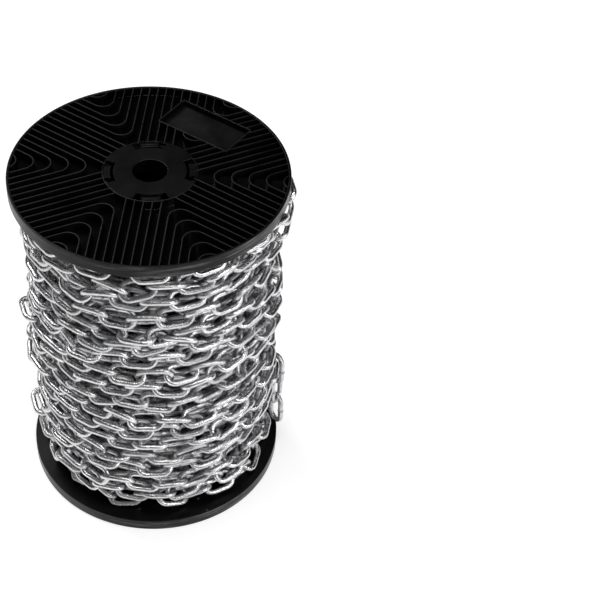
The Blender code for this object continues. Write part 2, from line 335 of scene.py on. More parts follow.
def build_scratches(patch_share: float = 0.35, patch_start: float = 0.52, patch_end: float = 0.66) -> None:
    """Build thin wandering scratches, which gather in some patches and are missing from others.

    Args:
        patch_share: the scale of the patches as a share of the scratches' own.
        patch_start: the noise at which scratches start to show.
        patch_end: the noise at which they show in full.
    """
    graph, given, result = new_group("scratches")
    flow = {"Vector": given["Vector"], "Rotation": (0.3, 0.5, 0.9), "Scale": (1.0, 0.16, 0.4)}
    stretched = graph.add("Mapping", flow).outputs[0]
    inputs = {"Vector": stretched, "Scale": given["Scale"], "Detail": 2.0, "Distortion": 0.6}
    noise = graph.add("TexNoise", inputs).outputs["Fac"]
    away = graph.math("ABSOLUTE", graph.math("SUBTRACT", noise, 0.5))
    line = graph.ramp(away, 0.0, given["Amount"], 1.0, 0.0)
    inputs = {"Vector": given["Vector"], "Scale": graph.times(given["Scale"], patch_share), "Detail": 2.0}
    patch = graph.add("TexNoise", inputs).outputs["Fac"]
    graph.feed(result, graph.times(line, graph.ramp(patch, patch_start, patch_end)))


def build_specks(largest: float = 0.28) -> None:
    """Build scattered round specks of dust or chipped colour.

    Args:
        largest: the largest speck's radius, as a share of the cells that the specks lie in.
    """
    graph, given, result = new_group("specks")
    cells = graph.add("TexVoronoi", {"Vector": given["Vector"], "Scale": given["Scale"], "Randomness": 1.0})
    chance = graph.add("SeparateColor", {"Color": cells.outputs["Color"]}).outputs
    chosen = graph.math("LESS_THAN", chance[0], given["Amount"])
    size = graph.times(chance[1], largest)
    dot = graph.ramp(cells.outputs["Distance"], graph.times(size, 0.5), size, 1.0, 0.0)
    graph.feed(result, graph.times(dot, chosen))


def build_groups() -> None:
    """Build the effects that the finishes share."""
    build_mottle()
    build_scratches()
    build_specks()


def new_material(name: str) -> tuple[bpy.types.Material, Graph, bpy.types.Node]:
    """Start a material.

    Args:
        name: the material's name.

    Returns:
        The material, its graph and its Principled shader.
    """
    material = bpy.data.materials.new(name)
    material.use_nodes = True
    return material, Graph(material.node_tree), material.node_tree.nodes["Principled BSDF"]


@dataclass(frozen=True)
class BlackPlastic:
    """Moulded black plastic: rubbed edges, scratches, dust, scuffed rims, and painted sheen on one rim side
    and the label floor.

    A pair is a shared effect's scale and amount, but roughness is its least and its most, and bump is its
    strength and distance.
    """

    name: str
    colour: tuple = (0.0012, 0.0012, 0.0013, 1.0)
    # Colour of rubbed edges, scratches and dust. The label floor takes part of it as a painted sheen.
    rubbed: tuple = (0.010, 0.010, 0.010, 1.0)
    # Colour of the rim scuffs and of the painted highlight among them, and of the winding face's flecks.
    scuff_and_sheen: tuple = (0.12, 0.12, 0.12, 1.0)
    cloud: tuple = (45.0, 0.25)
    grain: tuple = (900.0, 0.3)
    scratches: tuple = (55.0, 0.006)
    dust: tuple = (320.0, 0.05)
    flecks: tuple = (140.0, 0.08)
    streaks: tuple = (30.0, 0.2)
    streak_shape: tuple = (1.0, 1.0, 14.0)
    scuff_start: float = 0.45
    least_rub: float = 0.1
    scratch_rub: float = 0.45
    dust_rub: float = 0.7
    roughness: tuple = (0.25, 0.38)
    rub_roughness: float = 0.28
    web_gloss: float = 0.16
    index: float = 1.27
    grain_height: float = 0.4
    scratch_depth: float = 0.3
    bump: tuple = (0.12, 0.0002)

    def material(self) -> bpy.types.Material:
        """Build the material.

        Returns:
            The material, which reads the mesh values of WEAR_AND_SHEEN where there are any.
        """
        material, graph, shader = new_material(self.name)
        place = graph.place()
        cloud = graph.effect("mottle", place, *self.cloud)
        grain = graph.effect("mottle", place, *self.grain)
        scratch = graph.effect("scratches", place, *self.scratches)
        dust = graph.effect("specks", place, *self.dust)
        fleck = graph.effect("specks", place, *self.flecks)
        drawn_out = graph.add("Mapping", {"Vector": place, "Scale": self.streak_shape}).outputs[0]
        streak = graph.effect("mottle", drawn_out, *self.streaks)
        edge = graph.times(graph.attribute("edge"), graph.ramp(cloud, 0.0, 1.0, self.least_rub, 1.0))
        marks = graph.most(graph.times(scratch, self.scratch_rub), graph.times(dust, self.dust_rub))
        rubbed = graph.most(edge, marks)
        # The rim mask carries scuff streaks and a painted highlight, both strongest on the flange's sheen
        # side.
        rim_scuff_and_sheen = graph.times(graph.attribute("rim"), graph.ramp(streak, self.scuff_start, 1.0))
        fleck = graph.times(graph.attribute("winding_face"), graph.most(fleck, scratch))
        wear_and_sheen = graph.blend(rubbed, self.colour, self.rubbed)
        graph.feed(shader.inputs["Base Color"], graph.blend(graph.most(rim_scuff_and_sheen, fleck), wear_and_sheen, self.scuff_and_sheen))
        rough = graph.ramp(cloud, 0.0, 1.0, *self.roughness)
        rough = graph.math("ADD", rough, graph.times(rubbed, self.rub_roughness))
        rough = graph.math("SUBTRACT", rough, graph.times(graph.attribute("web"), self.web_gloss))
        graph.feed(shader.inputs["Roughness"], rough)
        lifted = graph.times(grain, self.grain_height)
        height = graph.math("SUBTRACT", lifted, graph.times(scratch, self.scratch_depth))
        graph.bump(shader, height, *self.bump)
        shader.inputs["IOR"].default_value = self.index
        return material


@dataclass(frozen=True)
class ZincPlate:
    """Bright zinc-plated steel wire, cloudy, with dull and dark patches. The pairs are as in BlackPlastic."""

    name: str
    bright: tuple = (0.80, 0.80, 0.81, 1.0)
    dull: tuple = (0.50, 0.50, 0.51, 1.0)
    burnt: tuple = (0.13, 0.13, 0.135, 1.0)
    cloud: tuple = (140.0, 0.22)
    grain: tuple = (1100.0, 0.25)
    specks: tuple = (900.0, 0.14)
    cloud_dullness: float = 0.6
    tone_dullness: float = 0.5
    dull_start: float = 0.15
    speck_stain: float = 0.6
    stain: float = 0.7
    roughness: tuple = (0.09, 0.29)
    grain_roughness: float = 0.1
    cloud_height: float = 1.5
    bump: tuple = (0.45, 0.0003)

    def material(self) -> bpy.types.Material:
        """Build the material.

        Returns:
            The material, which reads the mesh values "tone" and "weld".
        """
        material, graph, shader = new_material(self.name)
        place = graph.place()
        cloud = graph.effect("mottle", place, *self.cloud)
        grain = graph.effect("mottle", place, *self.grain)
        speck = graph.effect("specks", place, *self.specks)
        tone = graph.times(graph.attribute("tone"), self.tone_dullness)
        dullness = graph.math("ADD", graph.times(cloud, self.cloud_dullness), tone)
        plate = graph.blend(graph.ramp(dullness, self.dull_start, 1.0), self.bright, self.dull)
        stain = graph.most(graph.times(speck, self.speck_stain), graph.attribute("weld"))
        stained = graph.blend(graph.times(stain, self.stain), plate, self.burnt)
        graph.feed(shader.inputs["Base Color"], stained)
        shader.inputs["Metallic"].default_value = 1.0
        rough = graph.ramp(dullness, 0.0, 1.0, *self.roughness)
        rough = graph.math("ADD", rough, graph.times(grain, self.grain_roughness))
        graph.feed(shader.inputs["Roughness"], rough)
        graph.bump(shader, graph.math("ADD", grain, graph.times(cloud, self.cloud_height)), *self.bump)
        return material


@dataclass(frozen=True)
class PaleFloor:
    """The plain pale floor."""

    name: str = "pale_floor"
    colour: tuple = (0.55, 0.55, 0.55, 1.0)
    roughness: float = 0.85
    glow: float = 0.62

    def material(self) -> bpy.types.Material:
        """Build the material. The floor glows a little, so that it stays nearly white all over.

        Returns:
            The material.
        """
        material, _, shader = new_material(self.name)
        shader.inputs["Base Color"].default_value = self.colour
        shader.inputs["Roughness"].default_value = self.roughness
        shader.inputs["Emission Color"].default_value = (1, 1, 1, 1)
        shader.inputs["Emission Strength"].default_value = self.glow
        return material


@dataclass(frozen=True)
class LinkShape:
    """A short link of round wire, welded in the middle of one long side. Its pitch is its inner length."""

    wire: float = 0.005
    pitch: float = 0.0235
    width: float = 0.020
    weld_reach: float = 0.0022
    weld_swell: float = 0.16

    @property
    def bend(self) -> float:
        """Radius of the wire's middle round an end."""
        return (self.width - self.wire) / 2

    @property
    def straight(self) -> float:
        """Length of a straight side."""
        return self.pitch + self.wire - 2 * self.bend

    @property
    def reach(self) -> float:
        """How far a link that leans at 45 degrees reaches up and out from its middle."""
        return self.bend * math.sqrt(0.5) + self.wire / 2

    @property
    def around(self) -> float:
        """Length of the wire's middle all round."""
        return 2 * self.straight + math.tau * self.bend

    def middle(self, run: float) -> tuple[Vector, Vector]:
        """Find a place on the wire's middle.

        Args:
            run: the length along the wire from the middle of the welded side.

        Returns:
            The place, and the way out from the link's middle there. The link lies in XY with its length on X.
        """
        run = (run + self.straight / 2) % self.around
        arc = math.pi * self.bend
        half = self.straight / 2
        for side in (1, -1):
            if run < self.straight:
                return Vector((side * (run - half), -side * self.bend, 0)), Vector((0, -side, 0))
            run -= self.straight
            if run < arc:
                turn = run / self.bend - math.pi / 2
                out = Vector((math.cos(turn), math.sin(turn), 0)) * side
                return Vector((side * half, 0, 0)) + out * self.bend, out
            run -= arc
        raise ValueError("the run is longer than the wire")

    def beads(self, count: int) -> np.ndarray:
        """Give the middles of equal beads along the wire."""
        return np.array([self.middle((step + 0.5) * self.around / count)[0] for step in range(count)])

    def runs(self, end_steps: int, weld_steps: int) -> list[float]:
        """List the places of the wire's rings: a few across the weld, and even steps round each end.

        Args:
            end_steps: how many faces go round each end.
            weld_steps: how many faces go across each half of the weld.

        Returns:
            The places, as lengths along the wire from the weld's middle.
        """
        arc = math.pi * self.bend
        first = self.straight / 2
        steps = range(-weld_steps, weld_steps + 1) if weld_steps else ()
        runs = [self.weld_reach * step / weld_steps for step in steps]
        for start in (first, first + arc + self.straight):
            runs += [start + arc * step / end_steps for step in range(end_steps + 1)]
        return runs

    def shell(self, spokes: int, end_steps: int, weld_steps: int) -> Shell:
        """Build one link's surface.

        Args:
            spokes: how many vertices go round the wire.
            end_steps: how many faces go round each end.
            weld_steps: how many faces go across each half of the weld, or 0 for a plain link.

        Returns:
            The link, with the values "tone" and "weld" on its vertices.
        """
        points, weld = [], []
        for run in self.runs(end_steps, weld_steps):
            middle, out = self.middle(run)
            nearness = max(0.0, 1 - abs(run) / self.weld_reach)
            swell = 1 + self.weld_swell * smooth_step(nearness)
            for spoke in range(spokes):
                lean = math.tau * spoke / spokes
                offset = out * math.cos(lean) + Vector((0, 0, math.sin(lean)))
                points.append(middle + offset * (self.wire / 2 * swell))
                weld.append(nearness)
        quads = ring_quads(len(points) // spokes, spokes, closed=True)
        return Shell(np.array(points), quads, {"tone": np.zeros(len(points)), "weld": np.array(weld)})


@dataclass
class Links:
    """Rigid links, by the place of each one's middle and its turn."""

    shape: LinkShape
    middles: np.ndarray
    turns: np.ndarray
    pull: np.ndarray
    joints: np.ndarray
    fixed: np.ndarray

    @staticmethod
    def joined(runs: list["Links"]) -> "Links":
        """Put several runs of chain together.

        Args:
            runs: the runs, in order.

        Returns:
            One set of links, with each run's own joints.
        """
        starts = np.cumsum([0] + [len(run.middles) for run in runs[:-1]])
        return Links(
            runs[0].shape,
            np.concatenate([run.middles for run in runs]),
            np.concatenate([run.turns for run in runs]),
            np.concatenate([run.pull for run in runs]),
            np.concatenate([run.joints + start for run, start in zip(runs, starts)]),
            np.concatenate([run.fixed for run in runs]),
        )

    def part(self, low: int, high: int) -> "Links":
        """Give a stretch of the links, without their joints."""
        middles, turns = self.middles[low:high], self.turns[low:high]
        return Links(self.shape, middles, turns, self.pull[low:high], NO_JOINTS, self.fixed[low:high])

    def shell(self, link: Shell, rng: np.random.Generator) -> Shell:
        """Copy one link's surface to the place of every link.

        Args:
            link: the surface of one link.
            rng: where each link's tone comes from.

        Returns:
            One shell with all of them.
        """
        count = len(self.middles)
        points = self.middles[:, None] + np.einsum("nij,mj->nmi", self.turns, link.points)
        quads = link.quads[None] + (np.arange(count) * len(link.points))[:, None, None]
        tone = np.repeat(rng.random(count), len(link.points))
        weld = np.tile(link.values["weld"], count)
        return Shell(points.reshape(-1, 3), quads.reshape(-1, 4), {"tone": tone, "weld": weld})


@dataclass
class Settling:
    """Lets wound links find their rest.

    They are drawn in, pushed apart where they touch, and held by their neighbours. Each link is rigid. Its
    wire is a string of beads, and touching beads of different links push each other off.
    """

    links: Links
    core: float
    low: float
    high: float
    beads: int = 20
    joint_slack: float = 0.0005
    joint_hold: float = 2.0
    stillness: float = 0.04
    search_every: int = 8
    search_margin: float = 0.002

    def near_beads(self, beads: np.ndarray, reach: float) -> tuple[np.ndarray, np.ndarray]:
        """Find beads of different links that lie near each other, by sorting them into cells.

        Args:
            beads: the beads' places, by link.
            reach: how near counts.

        Returns:
            The numbers of the first and of the second bead of each pair.
        """
        each = beads.shape[1]
        flat = beads.reshape(-1, 3)
        cell = np.floor((flat - flat.min(axis=0)) / reach).astype(np.int64) + 1
        size = cell.max(axis=0) + 2
        key = (cell[:, 0] * size[1] + cell[:, 1]) * size[2] + cell[:, 2]
        order = np.argsort(key, kind="stable")
        ordered = key[order]
        firsts, seconds = [], []
        for x, y, z in itertools.product((-1, 0, 1), repeat=3):
            if (x, y, z) < (0, 0, 0):
                continue
            wanted = key + (x * size[1] + y) * size[2] + z
            start = np.searchsorted(ordered, wanted, "left")
            count = np.searchsorted(ordered, wanted, "right") - start
            mine = np.repeat(np.arange(len(key)), count)
            inside = np.arange(len(mine)) - np.repeat(np.cumsum(count) - count, count)
            theirs = order[inside + np.repeat(start, count)]
            keep = mine // each != theirs // each
            if (x, y, z) == (0, 0, 0):
                keep &= mine < theirs
            mine, theirs = mine[keep], theirs[keep]
            near = ((flat[mine] - flat[theirs]) ** 2).sum(axis=-1) < reach * reach
            firsts.append(mine[near])
            seconds.append(theirs[near])
        return np.concatenate(firsts), np.concatenate(seconds)

    def pushed(self, beads: np.ndarray, pairs: tuple[np.ndarray, ...]) -> tuple[np.ndarray, np.ndarray]:
        """Work out how far touching beads move apart.

        Args:
            beads: the beads' places, by link.
            pairs: the beads that may touch.

        Returns:
            Each bead's move, and how many others it touches.
        """
        flat = beads.reshape(-1, 3)
        gap = flat[pairs[0]] - flat[pairs[1]]
        away = np.sqrt((gap ** 2).sum(axis=-1)) + TINY
        hit = away < self.links.shape.wire
        first, second = pairs[0][hit], pairs[1][hit]
        push = gap[hit] * (0.5 * (self.links.shape.wire / away[hit] - 1))[:, None]
        total = len(flat)
        moves = [np.bincount(first, part, total) - np.bincount(second, part, total) for part in push.T]
        touches = np.bincount(first, minlength=total) + np.bincount(second, minlength=total)
        move = np.stack(moves, axis=-1) / np.sqrt(np.maximum(touches, 1))[:, None]
        return move.reshape(beads.shape), touches.reshape(beads.shape[:2])

    def walled(self, beads: np.ndarray) -> np.ndarray:
        """Keep beads outside the core and between the flanges, in place.

        Args:
            beads: the beads' places, by link, which are changed.

        Returns:
            Which beads touched a wall.
        """
        half = self.links.shape.wire / 2
        radius = np.hypot(beads[..., 0], beads[..., 1])
        need = np.maximum(self.core + half - radius, 0)
        beads[..., :2] *= (1 + need / radius)[..., None]
        height = np.clip(beads[..., 2], self.low + half, self.high - half)
        touched = (need > 0) | (height != beads[..., 2])
        beads[..., 2] = height
        return touched

    def refit(self, local: np.ndarray, target: np.ndarray, weight: np.ndarray) -> None:
        """Move each rigid link so that its points lie as near their targets as they can.

        Args:
            local: the points of a link in its own space.
            target: where each link's points should go.
            weight: how much each point counts.
        """
        share = weight[..., None]
        total = share.sum(axis=1)
        middle = (target * share).sum(axis=1) / total
        own = (local[None] * share).sum(axis=1) / total
        offsets = (target - middle[:, None]) * share
        spread = np.einsum("nmi,nmj->nij", offsets, local[None] - own[:, None])
        left, _, right = np.linalg.svd(spread)
        left[:, :, 2] *= np.sign(np.linalg.det(left @ right))[:, None]
        turns = left @ right
        free = ~self.links.fixed
        self.links.turns[free] = turns[free]
        self.links.middles[free] = (middle - np.einsum("nij,nj->ni", turns, own))[free]

    def run(self, rounds: int, draw: float, drawn_share: float = 0.5) -> None:
        """Settle the links.

        Args:
            rounds: how many times the links move.
            draw: how far a link is drawn towards the axis each time.
            drawn_share: the share of the rounds in which they are drawn. In the rest they only push apart.
        """
        links = self.links
        count = self.beads
        half = links.shape.pitch / 2
        local = np.concatenate([links.shape.beads(count), [[half, 0, 0], [-half, 0, 0]]])
        ahead, behind = (links.joints[:, 0], count), (links.joints[:, 1], count + 1)
        for number in range(rounds):
            points = links.middles[:, None] + np.einsum("nij,mj->nmi", links.turns, local)
            if number % self.search_every == 0:
                pairs = self.near_beads(points[:, :count], links.shape.wire + self.search_margin)
            if number < drawn_share * rounds:
                radius = np.hypot(points[..., 0], points[..., 1])
                points[..., :2] *= (1 - draw * links.pull[:, None] / radius)[..., None]
            move, touches = self.pushed(points[:, :count], pairs)
            gap = points[behind] - points[ahead]
            stretch = np.linalg.norm(gap, axis=-1) + TINY
            pulled = gap * (0.5 * np.maximum(stretch - self.joint_slack, 0) / stretch)[:, None]
            points[:, :count] += move
            points[ahead] += pulled
            points[behind] -= pulled
            touched = self.walled(points[:, :count])
            weight = np.full(points.shape[:2], self.stillness)
            weight[:, :count][(touches > 0) | touched] = 1.0
            taut = stretch > self.joint_slack
            weight[links.joints[taut, 0], count] = self.joint_hold
            weight[links.joints[taut, 1], count + 1] = self.joint_hold
            self.refit(local, points, weight)


class Lay(Enum):
    """Which way a layer's turns climb."""

    UP = 1
    DOWN = -1


@dataclass(frozen=True)
class Bight:
    """A stretch of one or more turns that stands off the winding. Slack gives it the chain to stay there."""

    angle: float
    height: float
    rise: float
    half_span: float = math.radians(24)
    half_height: float = 0.010
    slack: bool = False


def wave(rng: np.random.Generator, count: int, step: int) -> np.ndarray:
    """Give random values that change smoothly along the chain.

    Args:
        rng: where the values come from.
        count: how many links there are.
        step: how many links lie between one free value and the next.

    Returns:
        One value for each link.
    """
    knots = rng.normal(size=count // step + 4)
    place = np.arange(count) / step
    whole = place.astype(int)
    share = place - whole
    share = share * share * (3 - 2 * share)
    return knots[whole] * (1 - share) + knots[whole + 1] * share


@dataclass
class Layer:
    """One layer of turns before it settles. Its height, its radius and the links' roll wander as it runs."""

    radius: float
    lay: Lay
    turns: int = 18
    start: float = math.radians(120)
    crossing: float = 1 / 6
    looseness: float = 0.00035
    clearance: float = 0.0003
    wander: float = 0.0036
    wander_links: int = 9
    wander_chance: float = 0.3
    swell: float = 0.0012
    swell_links: int = 7
    swell_chance: float = 0.0006
    roll: float = math.radians(45)
    roll_wave: float = 0.45
    roll_links: int = 6
    roll_chance: float = math.radians(10)
    foot_lift: float = 0.0
    foot_height: float = 0.028
    foot_inset: float = 0.0
    foot_roll: float = 0.0
    bights: tuple[Bight, ...] = ()

    def heights(self, turned: np.ndarray, low: float, high: float, reach: float) -> np.ndarray:
        """Give the height of the chain's middle. Each turn lies level, and then crosses to the next.

        Args:
            turned: how many turns each link is from the start.
            low: the height of the lower flange's winding face.
            high: the height of the upper one's.
            reach: how far the middle stays away from the faces.

        Returns:
            One height for each link.
        """
        last = self.turns - 1
        step = (high - low - 2 * reach) / last
        whole = np.minimum(turned.astype(int), last)
        crossed = np.clip((turned - whole - 1 + self.crossing) / self.crossing, 0, 1) * (whole < last)
        height = low + reach + step * (whole + (1 - np.cos(np.pi * crossed)) / 2)
        return height if self.lay is Lay.UP else low + high - height

    def standoff(self, angle: np.ndarray, height: np.ndarray) -> tuple[np.ndarray, ...]:
        """Work out what the bights do to each link.

        Args:
            angle: each link's place round the axis.
            height: each link's height.

        Returns:
            How far each link is lifted, how loosely it lies, and how much of its rise has slack.
        """
        rise, loose, slack = np.zeros((3, len(angle)))
        for bight in self.bights:
            across = ((angle - bight.angle + np.pi) % math.tau - np.pi) / bight.half_span
            share = np.clip(1 - across ** 2 - ((height - bight.height) / bight.half_height) ** 2, 0, 1)
            rise = rise + bight.rise * share
            loose = np.maximum(loose, share)
            slack = slack + bight.slack * bight.rise * share
        return rise, loose, slack

    def links(self, shape: LinkShape, low: float, high: float, rng: np.random.Generator) -> Links:
        """Lay the links out along the turns.

        Args:
            shape: the link.
            low: the height of the lower flange's winding face.
            high: the height of the upper one's.
            rng: where the unevenness comes from.

        Returns:
            The links, each hooked in the next.
        """
        per_turn = math.tau * self.radius / (shape.pitch + self.looseness)
        count = int(self.turns * per_turn)
        number = np.arange(count)
        height = self.heights(number / per_turn, low + self.foot_lift, high, shape.reach + self.clearance)
        uneven = wave(rng, count, self.wander_links) + self.wander_chance * rng.normal(size=count)
        height = height + self.wander * uneven
        radius = self.radius + self.swell * wave(rng, count, self.swell_links)
        radius = radius + self.swell_chance * rng.normal(size=count)
        roll = self.roll + self.roll_wave * wave(rng, count, self.roll_links)
        roll = roll + self.roll_chance * rng.normal(size=count)
        foot = np.clip(1 - (height - low - shape.reach) / self.foot_height, 0, 1)
        roll = roll + self.foot_roll * foot + number % 2 * math.pi / 2
        half = shape.bend * np.abs(np.cos(roll)) + shape.wire / 2
        height = np.clip(height, low + half, high - half)
        angle = self.start + math.tau * number / per_turn
        rise, loose, slack = self.standoff(angle, height)
        angle = angle - math.tau / per_turn * np.cumsum(slack / (self.radius + slack))
        radius = radius - self.foot_inset * foot + rise
        out = np.stack([np.cos(angle), np.sin(angle), 0 * angle], axis=-1)
        middles = out * radius[:, None] + np.array([0, 0, 1]) * height[:, None]
        along = np.gradient(middles, axis=0)
        along /= np.linalg.norm(along, axis=1, keepdims=True)
        side = np.cross(along, out)
        side /= np.linalg.norm(side, axis=1, keepdims=True)
        out = np.cross(side, along)
        across = np.cos(roll)[:, None] * side + np.sin(roll)[:, None] * out
        turns = np.stack([along, across, np.cross(along, across)], axis=-1)
        joints = np.stack([number[:-1], number[1:]], axis=-1)
        return Links(shape, middles, turns, 1 - loose, joints, np.zeros(count, bool))


@dataclass
class WoundChain:
    """The chain on the barrel: two settled layers of links, and the turns below them."""

    low: float
    high: float
    shape: LinkShape = field(default_factory=LinkShape)
    outer: Layer = field(
        default_factory=lambda: Layer(
            radius=0.1046,
            lay=Lay.UP,
            foot_inset=0.009,
            foot_roll=math.radians(30),
            bights=(
                Bight(math.radians(5), 0.305, 0.0130, half_span=math.radians(13), slack=True),
                Bight(math.radians(-18), 0.305, 0.0130, half_span=math.radians(14), slack=True),
                Bight(math.radians(-8), 0.280, 0.0065, half_span=math.radians(20), slack=True),
                Bight(math.radians(-10), 0.200, 0.0035, half_height=0.040),
                Bight(math.radians(187), 0.190, 0.0045),
                Bight(math.radians(189), 0.140, 0.0045),
                Bight(math.radians(187), 0.070, 0.0045),
            ),
        )
    )
    second: Layer = field(
        default_factory=lambda: Layer(radius=0.0895, lay=Lay.DOWN, turns=17, foot_lift=0.014)
    )
    inner: Layer = field(default_factory=lambda: Layer(radius=0.0740, lay=Lay.UP))
    core: float = 0.0800
    draw: float = 0.00003
    rounds: int = 400
    quick_rounds: int = 60
    seed: int = 4

    def build(self, free_end: Links) -> list[bpy.types.Object]:
        """Lay out and settle the chain.

        Args:
            free_end: the hanging links, which the winding keeps clear of.

        Returns:
            The pieces, ready to be dressed.
        """
        rng = np.random.default_rng(self.seed)
        second = self.second.links(self.shape, self.low, self.high, rng)
        outer = self.outer.links(self.shape, self.low, self.high, rng)
        inner = self.inner.links(self.shape, self.low, self.high, rng)
        every = Links.joined([second, outer, free_end])
        rounds = self.rounds
        Settling(every, self.core, self.low, self.high).run(rounds, self.draw)
        start, end = len(second.middles), len(second.middles) + len(outer.middles)
        half = (start + end) // 2
        fine = self.shape.shell(spokes=10, end_steps=8, weld_steps=2)
        coarse = self.shape.shell(spokes=7, end_steps=5, weld_steps=0)
        plain = self.shape.shell(spokes=5, end_steps=4, weld_steps=0)
        return [
            every.part(start, half).shell(fine, rng).to_object("outer_turns_lower"),
            every.part(half, end).shell(fine, rng).to_object("outer_turns_upper"),
            every.part(0, start).shell(coarse, rng).to_object("second_layer_turns"),
            inner.shell(plain, rng).to_object("inner_turns"),
        ]


@dataclass
class FreeEnd:
    """The chain's last links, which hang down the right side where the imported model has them."""

    nodes: tuple[str, ...] = ("free_end_link_1", "free_end_link_2", "free_end_link_3")
    roll: float = math.radians(32)
    slant: float = math.radians(10)
    seed: int = 7

    def links(self, shape: LinkShape) -> Links:
        """Place the links in the middle of their nodes' boxes.

        Args:
            shape: the link.

        Returns:
            The hanging links, which settling leaves where they are.
        """
        middles, turns = [], []
        for number, node in enumerate(self.nodes):
            low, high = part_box(node)
            middles.append((low + high) / 2)
            roll = self.roll * (-1) ** number
            lean = Matrix.Rotation(-self.slant, 3, "X")
            along = lean @ Vector((0, 0, -1))
            across = lean @ Vector((-math.sin(roll), math.cos(roll), 0))
            turns.append(np.array([along, across, along.cross(across)]).T)
        count = len(middles)
        held = np.ones(count, bool)
        return Links(shape, np.array(middles), np.array(turns), np.zeros(count), NO_JOINTS, held)

    def build(self, links: Links) -> list[bpy.types.Object]:
        """Build each hanging link as a piece of its own, named after its node.

        Args:
            links: the hanging links.

        Returns:
            The pieces, in the order of the nodes.
        """
        link = links.shape.shell(spokes=14, end_steps=12, weld_steps=3)
        rng = np.random.default_rng(self.seed)
        shells = [links.part(k, k + 1).shell(link, rng) for k in range(len(self.nodes))]
        return [shell.to_object(node + "_wire") for node, shell in zip(self.nodes, shells)]


@dataclass
class Sweep:
    """A section run along a line in the XY plane. The section's points are (across, up)."""

    section: np.ndarray
    rubs: np.ndarray

    @staticmethod
    def ways(places: np.ndarray, closed: bool) -> np.ndarray:
        """Find the way across the line at each of its points, longer where the line turns.

        Args:
            places: the line's points.
            closed: whether the last point joins the first.

        Returns:
            One (x, y) vector for each point.
        """
        ahead = np.roll(places, -1, axis=0) - places
        ahead /= np.linalg.norm(ahead, axis=1, keepdims=True)
        behind = np.roll(ahead, 1, axis=0)
        if not closed:
            ahead[-1] = ahead[-2]
            behind[0] = ahead[0]
        along = ahead + behind
        along /= np.linalg.norm(along, axis=1, keepdims=True)
        return np.stack([-along[:, 1], along[:, 0]], axis=-1) / (along * ahead).sum(axis=1, keepdims=True)

    def run(self, line: list[Vector], closed: bool = False) -> Shell:
        """Run the section along a line, with flat ends where the line is open.

        Args:
            line: the line's points.
            closed: whether the last point joins the first.

        Returns:
            The swept shell, with the values of WEAR_AND_SHEEN.
        """
        places = np.array([(point.x, point.y) for point in line])
        points, quads = swept(self.section, places, self.ways(places, closed), closed)
        spokes = len(self.section)
        if not closed:
            cap = np.array([(k, k + 1, spokes - 2 - k, spokes - 1 - k) for k in range(spokes // 2 - 1)])
            quads = np.concatenate([quads, cap[:, ::-1], cap + (len(line) - 1) * spokes])
        web = np.where(points[:, 2] < self.section[:, 1].mean(), 1.0, 0.0)
        values = unworn(len(points)) | {"edge": np.tile(self.rubs, len(line)), "web": web}
        return Shell(points, quads, values)


@dataclass
class LabelField:
    """The sunk field for a label on a flange's outer face, framed by a thin wall.

    It lies across +X before it is turned by its angle, at a distance from the axis.
    """

    length: float = 0.071
    width: float = 0.037
    distance: float = 0.0757
    angle: float = math.radians(51.6)
    depth: float = 0.0054
    corner: float = 0.0012
    # Share of rubbed colour and roughness on the field's floor: a satin roughness, and a painted sheen that
    # lightens the floor.
    satin_and_sheen: float = 0.4

    def outline(self, inset: float = 0.0, steps: int = 4) -> list[Vector]:
        """Give the field's outline with round corners, in the flange's plane.

        Args:
            inset: how far inside the frame's middle it runs.
            steps: how many faces go round a corner.

        Returns:
            The outline's points, turned to the field's place.
        """
        turn = Matrix.Rotation(self.angle, 3, "Z")
        wide, tall = self.width / 2 - inset - self.corner, self.length / 2 - inset - self.corner
        line = []
        for number, (x, y) in enumerate(((wide, tall), (-wide, tall), (-wide, -tall), (wide, -tall))):
            for step in range(steps + 1):
                lean = math.pi / 2 * (number + step / steps)
                corner = Vector((x + self.distance, y, 0))
                line.append(turn @ (corner + self.corner * Vector((math.cos(lean), math.sin(lean), 0))))
        return line

    def holds(self, point: Vector) -> bool:
        """Say whether a point of the flange's plane lies in the field."""
        local = Matrix.Rotation(-self.angle, 3, "Z") @ point
        return abs(local.x - self.distance) < self.width / 2 and abs(local.y) < self.length / 2

    def clipped(self, line: list[Vector], step: float = 0.0004) -> list[list[Vector]]:
        """Cut the stretch of a line that crosses the field out of it.

        Args:
            line: the points of a line.
            step: how finely the line is searched.

        Returns:
            The stretches that are left, each with at least two points.
        """
        parts, current = [], []
        for near, far in zip(line, line[1:]):
            count = max(1, math.ceil((far - near).length / step))
            if not current and not self.holds(near):
                current = [near]
            for number in range(1, count + 1):
                before, point = near.lerp(far, (number - 1) / count), near.lerp(far, number / count)
                if self.holds(point) and current:
                    parts.append(current + [point])
                    current = []
                elif not self.holds(point) and self.holds(before):
                    current = [before]
            if current:
                current.append(far)
        parts.append(current)
        return [part for part in parts if len(part) > 1 and (part[-1] - part[0]).length > 2 * step]


